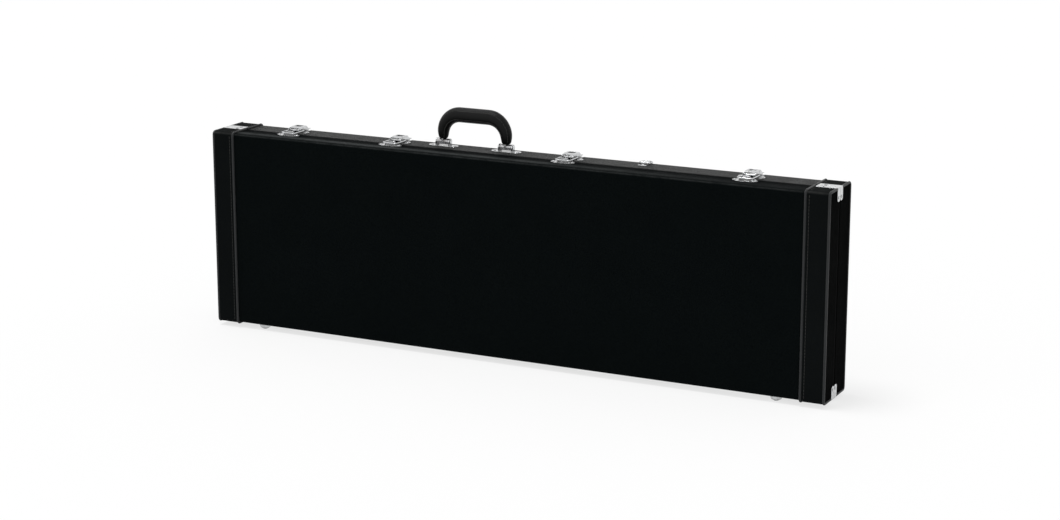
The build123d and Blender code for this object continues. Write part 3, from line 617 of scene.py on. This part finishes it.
handleMid, handleY = middleOf("handle_brackets")
bracketLow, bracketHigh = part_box("handle_brackets")
footSpread = (bracketHigh.x - bracketLow.x) / 2 - rivetPlan["bracket"]["inset"]
for side in (-1, 1):
    for way in (-1, 1):
        x = handleMid + side * footSpread + way * rivetPlan["bracket"]["apart"]
        addRivet("body", (x, handleY, coverTop + rivetPlan["bracket"]["over"]))

plan = rivetPlan["clip"]
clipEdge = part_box("tag_clip")[0].y
addRivet("body", (middleOf("tag_clip")[0], clipEdge + plan["inset"], coverTop + plan["over"]))

guardLow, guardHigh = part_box("body_corner_guards")
plan = rivetPlan["guard"]
for body, y in (("lid", splitY - plan["fromSplit"]), ("body", splitY + plan["fromSplit"])):
    for side in (-1, 1):
        addRivet(body, (side * plan["along"], y, guardHigh.z))
        addRivet(body, (side * plan["along"], y, guardLow.z), downward)
        for z in (guardHigh.z - plan["fromEdge"], guardLow.z + plan["fromEdge"]):
            addRivet(body, (side * guardHigh.x, y, z), (side, 0, 0), crossways)

plan = rivetPlan["hinge"]
for middle in plan["middles"]:
    for body, way in (("lid", -1), ("body", 1)):
        for apart in plan["apart"]:
            row = plan["outerRow"] if apart else plan["innerRow"]
            addRivet(body, (middle + apart, splitY + way * row, coverBottom - plan["leaf"]), downward)

rivetPattern = modelRivet("rivetPattern", rivetLook)
for body, places in rivetPlaces.items():
    rivets = scatter(rivetPattern, f"{body}_rivets", places)
    finishPiece(rivets, body, materials["brightPlating"])
forget(rivetPattern)
print("rivets set")

# Handle grip: a padded arch that swells in the middle and narrows to its feet
gripLow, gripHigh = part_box("handle_grip")
gripLook = {
    "thick": 0.0284, "wide": 0.0264, "corner": 0.036, "steps": 14, "sides": 28, "legInset": 0.0128,
    "footThick": 0.0168, "footWide": 0.0146, "footZ": gripLow.z - 0.0042,
    "legTaper": (0.68, 0.66), "bendTaper": 0.76, "bendGrowth": 0.24, "fullAt": 0.8, "swell": 0.8,
    "legReach": 0.02, "probe": 0.03, "fill": 0.9,
    "seamStop": 0.004, "seamLeans": (34, -40),  # degrees in and out from the sides
}
legX = (gripHigh.x - gripLow.x) / 2 - gripLook["legInset"]
archZ = gripHigh.z - gripLook["thick"] / 2
bendZ = archZ - gripLook["corner"]
tiny = 1e-5


def extrudeBy(steps, x=0.0, z=0.0):
    for step in range(steps):
        bpy.ops.mesh.extrude_region_move(TRANSFORM_OT_translate={"value": (x / steps, 0, z / steps)})


def sweepArch(name, look):
    # a round section extruded up one leg, spun round the bends and brought down the other leg
    left, right = handleMid - legX, handleMid + legX
    clearSelection()
    bpy.ops.mesh.primitive_circle_add(vertices=look["sides"], radius=1.0, fill_type="NOTHING")
    arch = startPiece(name)
    arch.scale = (look["thick"] / 2, look["wide"] / 2, 1.0)
    arch.location = (left, handleY, look["footZ"])
    settle(arch)
    openMesh(arch, "VERT", "SELECT")
    extrudeBy(2, z=bendZ - look["footZ"])
    bpy.ops.mesh.spin(steps=look["steps"], angle=-math.pi / 2, axis=crossways,
                      center=(left + look["corner"], handleY, bendZ))
    extrudeBy(6, x=right - left - 2 * look["corner"])
    bpy.ops.mesh.spin(steps=look["steps"], angle=-math.pi / 2, axis=crossways,
                      center=(right - look["corner"], handleY, bendZ))
    extrudeBy(2, z=look["footZ"] - bendZ)
    for way in (-1, 1):
        choosePoints(arch, lambda co: abs(co.z - look["footZ"]) < tiny and (co.x - handleMid) * way > 0)
        bpy.ops.mesh.edge_face_add()
    closeMesh()
    faceOutwards(arch)
    return arch


def narrowLegs(arch, look):
    # rings at the foot, in mid leg and at the bend are drawn in by their own shares
    rings = (
        (look["footZ"], look["footThick"] / look["thick"], look["footWide"] / look["wide"]),
        ((look["footZ"] + bendZ) / 2, *look["legTaper"]),
        (bendZ, look["bendTaper"], look["bendTaper"]),
    )
    openMesh(arch, "VERT")
    for x in (handleMid - legX, handleMid + legX):
        for z, thick, wide in rings:
            choosePoints(arch, lambda co: abs(co.z - z) < tiny and abs(co.x - x) < look["legReach"])
            bpy.ops.transform.resize(value=(thick, wide, 1.0), center_override=(x, handleY, z))
    closeMesh()


def narrowBends(arch, look):
    # the bends grow from the legs' size to the top's
    for point in arch.data.vertices:
        for way in (-1, 1):
            hub = Vector((handleMid + way * (legX - look["corner"]), handleY, bendZ))
            arm = Vector((point.co.x - hub.x, 0, point.co.z - hub.z))
            if arm.z > tiny and arm.x * way > -tiny:
                turned = math.atan2(arm.z, arm.x * way) / (math.pi / 2)
                grown = min(1.0, turned / look["fullAt"]) ** look["swell"]
                small = look["bendTaper"] + look["bendGrowth"] * grown
                arm = arm.normalized() * (look["corner"] + (arm.length - look["corner"]) * small)
                point.co.x = hub.x + arm.x
                point.co.z = hub.z + arm.z
                point.co.y = handleY + (point.co.y - handleY) * small
    faceOutwards(arch)


grip = sweepArch("handle_padded_grip", gripLook)
narrowLegs(grip, gripLook)
narrowBends(grip, gripLook)
subdivideSmoothly(grip)
shadeSmooth(grip, 60)
finishPiece(grip, "handle", materials["gripLeather"])
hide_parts("handle_grip")
print("grip swept")

# Stitches: one short thread with sunk ends, modelled once
stitchLook = {"length": 0.0034, "radius": 0.00042, "sides": 6, "tail": 0.0005, "sunk": 0.9, "thin": 0.6,
              "pitch": 0.0048, "lift": 0.0001}


def modelStitch(name, look):
    clearSelection()
    bpy.ops.mesh.primitive_cylinder_add(
        vertices=look["sides"], radius=look["radius"], depth=look["length"], rotation=(0, math.pi / 2, 0))
    stitch = startPiece(name)
    settle(stitch)
    openMesh(stitch)
    drop = -look["radius"] * look["sunk"]
    for side in (-1, 1):
        chooseFaces(stitch, lambda centre, normal: normal.x * side > 0.9)
        bpy.ops.mesh.extrude_region_move(TRANSFORM_OT_translate={"value": (side * look["tail"], 0, drop)})
        bpy.ops.transform.resize(value=(1, look["thin"], look["thin"]),
                                 center_override=(side * (look["length"] / 2 + look["tail"]), 0, drop))
    closeMesh()
    shadeSmooth(stitch)
    return stitch


def archStations(pitch):
    # points on the arch's middle line, with the direction along it, in the handle's own plane
    radius = gripLook["corner"]
    topLength = 2 * (legX - radius)
    bendLength = radius * math.pi / 2
    legLength = bendZ - gripLook["footZ"] - gripLook["seamStop"]
    total = 2 * (bendLength + legLength) + topLength
    count = int(total / pitch)
    for k in range(count):
        run = (k + 0.5) * total / count
        way = -1 if run < total / 2 else 1
        run = min(run, total - run)
        if run < legLength:
            x, z, alongX, alongZ = legX, bendZ - legLength + run, 0.0, 1.0
        elif run < legLength + bendLength:
            turn = (run - legLength) / radius
            x = legX - radius + radius * math.cos(turn)
            z, alongX, alongZ = bendZ + radius * math.sin(turn), -math.sin(turn), math.cos(turn)
        else:
            x, z, alongX, alongZ = legX - radius - (run - legLength - bendLength), archZ, -1.0, 0.0
        yield Vector((handleMid + way * x, handleY, z)), Vector((way * alongX, 0, alongZ))


def onGrip(middle, outwards):
    # the point where a line from the grip's middle leaves its leather
    found, place, normal = grip.ray_cast(middle, outwards, distance=gripLook["probe"])[:3]
    return (place, normal) if found else None


stitchPattern = modelStitch("stitchPattern", stitchLook)
gripStitches = []
for side in (-1, 1):
    for middle, along in archStations(stitchLook["pitch"]):
        inwards = Vector((along.z, 0, -along.x)) * (1 if middle.x < handleMid else -1)
        for lean in map(math.radians, gripLook["seamLeans"]):
            landing = onGrip(middle, inwards * math.sin(lean) + Vector((0, side * math.cos(lean), 0)))
            if landing:
                place, normal = landing
                across = along - normal * along.dot(normal)
                gripStitches.append(standing(place + normal * stitchLook["lift"], across, normal))
gripThread = scatter(stitchPattern, "handle_grip_stitches", gripStitches)
finishPiece(gripThread, "handle", materials["darkThread"])
print("grip stitched")

# Stitched seam along the inner edge of each end cap, beside the piping
capSeam = {"fromPiping": 0.0045, "pitch": 0.0060, "lift": 0.0002, "corner": 0.007, "fromRim": 0.001}


def evenly(length):
    count = int(length / capSeam["pitch"])
    return [(k + 0.5) * length / count for k in range(count)]


for half, outY in (("lid", -1), ("body", 1)):
    places = []
    low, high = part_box(f"{half}_left_end_cap")
    faceY, rimY = (low.y, high.y) if half == "lid" else (high.y, low.y)
    for side in (-1, 1):
        x = side * (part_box(f"{half}_right_end_cap")[0].x + capSeam["fromPiping"])
        for run in evenly(high.z - low.z - 2 * capSeam["corner"]):
            place = (x, faceY + outY * capSeam["lift"], low.z + capSeam["corner"] + run)
            places.append(standing(place, upward, (0, outY, 0)))
        for run in evenly(abs(faceY - rimY) - capSeam["corner"] - capSeam["fromRim"]):
            y = rimY + outY * (capSeam["fromRim"] + run)
            places.append(standing((x, y, high.z + capSeam["lift"]), crossways, upward))
            places.append(standing((x, y, low.z - capSeam["lift"]), crossways, downward))
    seam = scatter(stitchPattern, f"{half}_cap_stitches", places)
    finishPiece(seam, half, materials["darkThread"])
forget(stitchPattern)
print("caps stitched")

# Padding: each block is copied from the frame, rounded as foam, and covered in plush
padLooks = {
    "floor_pad": {"voxel": 0.006, "fill": 0.8},
    "corner_pads": {"voxel": 0.005, "fill": 0.9},
    "upper_bout_block": {"voxel": 0.006, "fill": 0.9},
    "lower_bout_block": {"voxel": 0.006, "fill": 0.9},
    "neck_rest": {"voxel": 0.005, "fill": 0.9},
    "head_pad": {"voxel": 0.005, "fill": 0.8},
    "lid_pad": {"voxel": 0.006, "fill": 0.7},
    "lid_neck_pad": {"voxel": 0.006, "fill": 0.7},
}
puffLook = {"shrink": 0.0022, "relax": 0.5, "passes": 6, "pressure": 4.0, "tension": 30.0,
            "quality": 4, "frames": 20, "most": 0.0040}


def bodyOf(node):
    for body, members in frame["record"]["behaviour"]["bodies"].items():
        if node in members:
            return body
    return None


def puffUp(pad, look):
    # air pressure under the plush swells it off the foam, by no more than the look allows
    start = [point.co.copy() for point in pad.data.vertices]
    cover = pad.modifiers.new("puff", "CLOTH")
    cover.settings.use_pressure = True
    cover.settings.uniform_pressure_force = look["pressure"]
    cover.settings.effector_weights.gravity = 0.0
    cover.settings.quality = look["quality"]
    cover.settings.tension_stiffness = look["tension"]
    cover.point_cache.frame_start = 1
    cover.point_cache.frame_end = look["frames"]
    for k in range(1, look["frames"] + 1):
        bpy.context.scene.frame_set(k)
    useModifiers(pad)
    for point, was in zip(pad.data.vertices, start):
        moved = point.co - was
        if moved.length > look["most"]:
            point.co = was + moved * (look["most"] / moved.length)
    bpy.context.scene.frame_set(1)


def makePad(node, look):
    pad = copyTo(nodes[node], f"{node}_plush", Matrix())
    openMesh(pad, action="SELECT")
    bpy.ops.mesh.remove_doubles(threshold=0.00002)
    closeMesh()
    shrink = pad.modifiers.new("drawIn", "DISPLACE")
    shrink.strength = -puffLook["shrink"]
    shrink.mid_level = 0.0
    blocks = pad.modifiers.new("evenSkin", "REMESH")
    blocks.mode = "VOXEL"
    blocks.voxel_size = look["voxel"]
    relax = pad.modifiers.new("roundOver", "SMOOTH")
    relax.factor = puffLook["relax"]
    relax.iterations = puffLook["passes"]
    useModifiers(pad)
    puffUp(pad, puffLook)
    low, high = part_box(node)
    for point in pad.data.vertices:
        point.co = [min(max(point.co[k], low[k]), high[k]) for k in range(3)]  # never outside its block
    subdivideSmoothly(pad)
    shadeSmooth(pad, 70)
    finishPiece(pad, bodyOf(node), materials["blackPlush"])
    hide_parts(node)


for node, look in padLooks.items():
    makePad(node, look)
    print("padded", node)

# Stage: pale floor, white surroundings for the camera and for reflections, soft light
stageLook = {"floor": (0.90, 0.90, 0.90, 1.0), "white": (1, 1, 1, 1), "size": 60.0, "cuts": 8,
             "whiten": 0.72, "ambient": 0.60}


def seenDirectly(tree):
    rays = addNode(tree, "ShaderNodeLightPath").outputs
    either = mathStep(tree, "MAXIMUM", rays["Is Camera Ray"], rays["Is Glossy Ray"])
    return mathStep(tree, "MAXIMUM", either, rays["Is Transmission Ray"])


def mixShaders(tree, share, first, second, surface):
    mixing = addNode(tree, "ShaderNodeMixShader", {0: share, 1: first.outputs[0], 2: second.outputs[0]})
    wire(tree, mixing.outputs[0], surface)


clearSelection()
bpy.ops.mesh.primitive_plane_add(size=stageLook["size"], location=(0, 0, 0))
floor = startPiece("studio_floor")
settle(floor)
openMesh(floor, action="SELECT")
bpy.ops.mesh.subdivide(number_cuts=stageLook["cuts"])
closeMesh()
paper = bpy.data.materials.new("studioPaper")
paper.use_nodes = True
tree = paper.node_tree
tree.nodes.remove(tree.nodes["Principled BSDF"])
matte = addNode(tree, "ShaderNodeBsdfDiffuse", {"Color": stageLook["floor"]})
white = addNode(tree, "ShaderNodeEmission", {"Color": stageLook["white"], "Strength": 1.0})
whitened = multiplied(tree, seenDirectly(tree), stageLook["whiten"])
mixShaders(tree, whitened, matte, white, tree.nodes["Material Output"].inputs["Surface"])
floor.data.materials.append(paper)

world = bpy.data.worlds.new("studioSurround")
bpy.context.scene.world = world
world.use_nodes = True
tree = world.node_tree
tree.nodes.clear()
soft = addNode(tree, "ShaderNodeBackground", {"Color": stageLook["white"], "Strength": stageLook["ambient"]})
bright = addNode(tree, "ShaderNodeBackground", {"Color": stageLook["white"], "Strength": 1.0})
leave = addNode(tree, "ShaderNodeOutputWorld")
mixShaders(tree, seenDirectly(tree), soft, bright, leave.inputs["Surface"])

lampLooks = {
    "overheadSoft": {"strength": 1.55, "spread": 22, "aim": (0.22, 0.12, -1.0)},
    "frontFill": {"strength": 0.35, "spread": 60, "aim": (0.5, 1.0, -0.5)},
}
for name, look in lampLooks.items():
    lamp = bpy.data.lights.new(name, "SUN")
    lamp.energy = look["strength"]
    lamp.angle = math.radians(look["spread"])
    holder = bpy.data.objects.new(name, lamp)
    holder.rotation_euler = Vector(look["aim"]).to_track_quat("-Z", "Y").to_euler()
    bpy.context.scene.collection.objects.link(holder)
print("stage and lamps set")

# Camera, fitted to the photograph's corners
cameraLook = {"place": (1.9303, -3.82762, 1.25289), "yaw": 0.46095, "pitch": -0.24355, "lens": 81.13,
              "sensor": 36.0, "far": 100.0}
cameraData = bpy.data.cameras.new("photoView")
cameraData.lens = cameraLook["lens"]
cameraData.sensor_width = cameraLook["sensor"]
cameraData.clip_end = cameraLook["far"]
camera = bpy.data.objects.new("photoView", cameraData)
camera.location = cameraLook["place"]
camera.rotation_euler = (math.pi / 2 + cameraLook["pitch"], 0.0, cameraLook["yaw"])
bpy.context.scene.collection.objects.link(camera)
bpy.context.scene.camera = camera
bpy.context.scene.view_settings.view_transform = "Standard"
